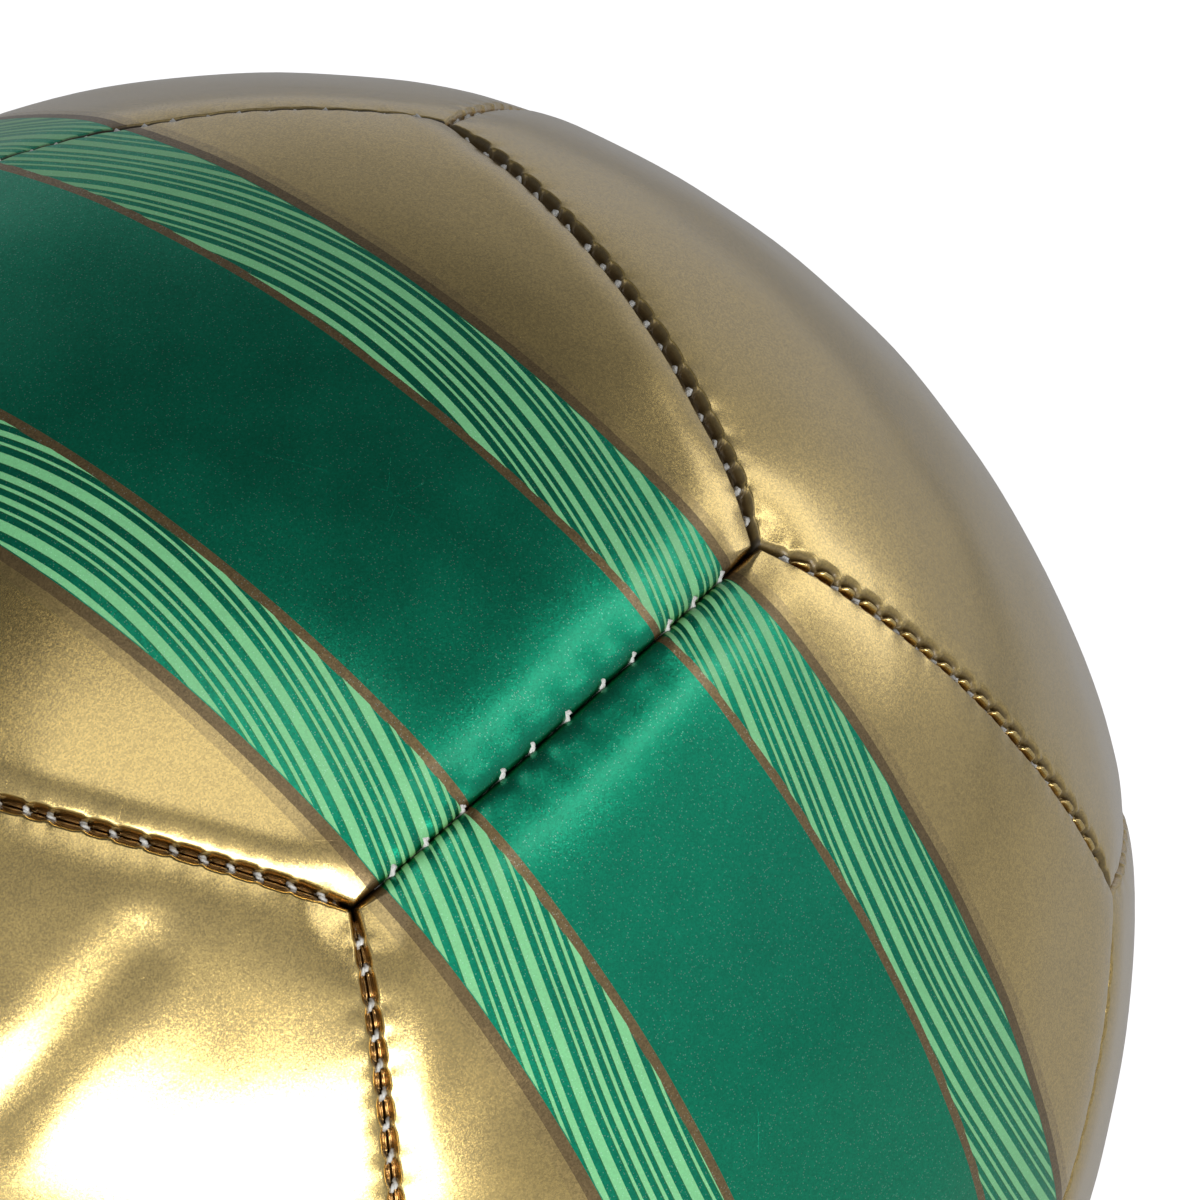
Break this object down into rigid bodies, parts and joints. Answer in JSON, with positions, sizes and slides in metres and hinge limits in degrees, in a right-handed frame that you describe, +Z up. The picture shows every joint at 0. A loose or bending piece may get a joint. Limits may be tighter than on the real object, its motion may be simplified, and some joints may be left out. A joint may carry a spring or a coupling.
{
  "type": "mini soccer ball",
  "caption": "Small stitched soccer ball of pentagonal gold vinyl panels with a green striped belt, over a lined rubber bladder with a needle valve.",
  "frame": {"origin": "centre of the ball", "axes": "+Z up and -Y towards the viewer as the ball is pictured; the belt's own axis points to the right, back and up"},
  "size_m": [0.15, 0.1498, 0.1502],
  "materials": {
    "gold_vinyl": "glossy pearl gold vinyl with a fine grain",
    "green_vinyl": "glossy gold vinyl printed with a dark green belt, light green stripes and brown lines",
    "lining_cloth": "plain woven cloth",
    "seam_thread": "waxed twisted thread",
    "bladder_rubber": "matt rubber",
    "valve_rubber": "matt moulded rubber"
  },
  "bodies": {
    "root": {"cover_panel_01": "green_vinyl", "cover_panel_02": "gold_vinyl", "cover_panel_03": "gold_vinyl", "cover_panel_04": "green_vinyl", "cover_panel_05": "gold_vinyl", "cover_panel_06": "gold_vinyl", "cover_panel_07": "green_vinyl", "cover_panel_08": "gold_vinyl", "cover_panel_09": "gold_vinyl", "cover_panel_10": "green_vinyl", "cover_panel_11": "gold_vinyl", "cover_panel_12": "gold_vinyl", "lining_panel_01": "lining_cloth", "lining_panel_02": "lining_cloth", "lining_panel_03": "lining_cloth", "lining_panel_04": "lining_cloth", "lining_panel_05": "lining_cloth", "lining_panel_06": "lining_cloth", "lining_panel_07": "lining_cloth", "lining_panel_08": "lining_cloth", "lining_panel_09": "lining_cloth", "lining_panel_10": "lining_cloth", "lining_panel_11": "lining_cloth", "lining_panel_12": "lining_cloth", "seam_thread_01": "seam_thread", "seam_thread_02": "seam_thread", "seam_thread_03": "seam_thread", "seam_thread_04": "seam_thread", "seam_thread_05": "seam_thread", "seam_thread_06": "seam_thread", "seam_thread_07": "seam_thread", "seam_thread_08": "seam_thread", "seam_thread_09": "seam_thread", "seam_thread_10": "seam_thread", "seam_thread_11": "seam_thread", "seam_thread_12": "seam_thread", "seam_thread_13": "seam_thread", "seam_thread_14": "seam_thread", "seam_thread_15": "seam_thread", "seam_thread_16": "seam_thread", "seam_thread_17": "seam_thread", "seam_thread_18": "seam_thread", "seam_thread_19": "seam_thread", "seam_thread_20": "seam_thread", "seam_thread_21": "seam_thread", "seam_thread_22": "seam_thread", "seam_thread_23": "seam_thread", "seam_thread_24": "seam_thread", "seam_thread_25": "seam_thread", "seam_thread_26": "seam_thread", "seam_thread_27": "seam_thread", "seam_thread_28": "seam_thread", "seam_thread_29": "seam_thread", "seam_thread_30": "seam_thread", "bladder": "bladder_rubber", "valve_body": "valve_rubber", "valve_plug": "valve_rubber"}
  },
  "joints": []
}
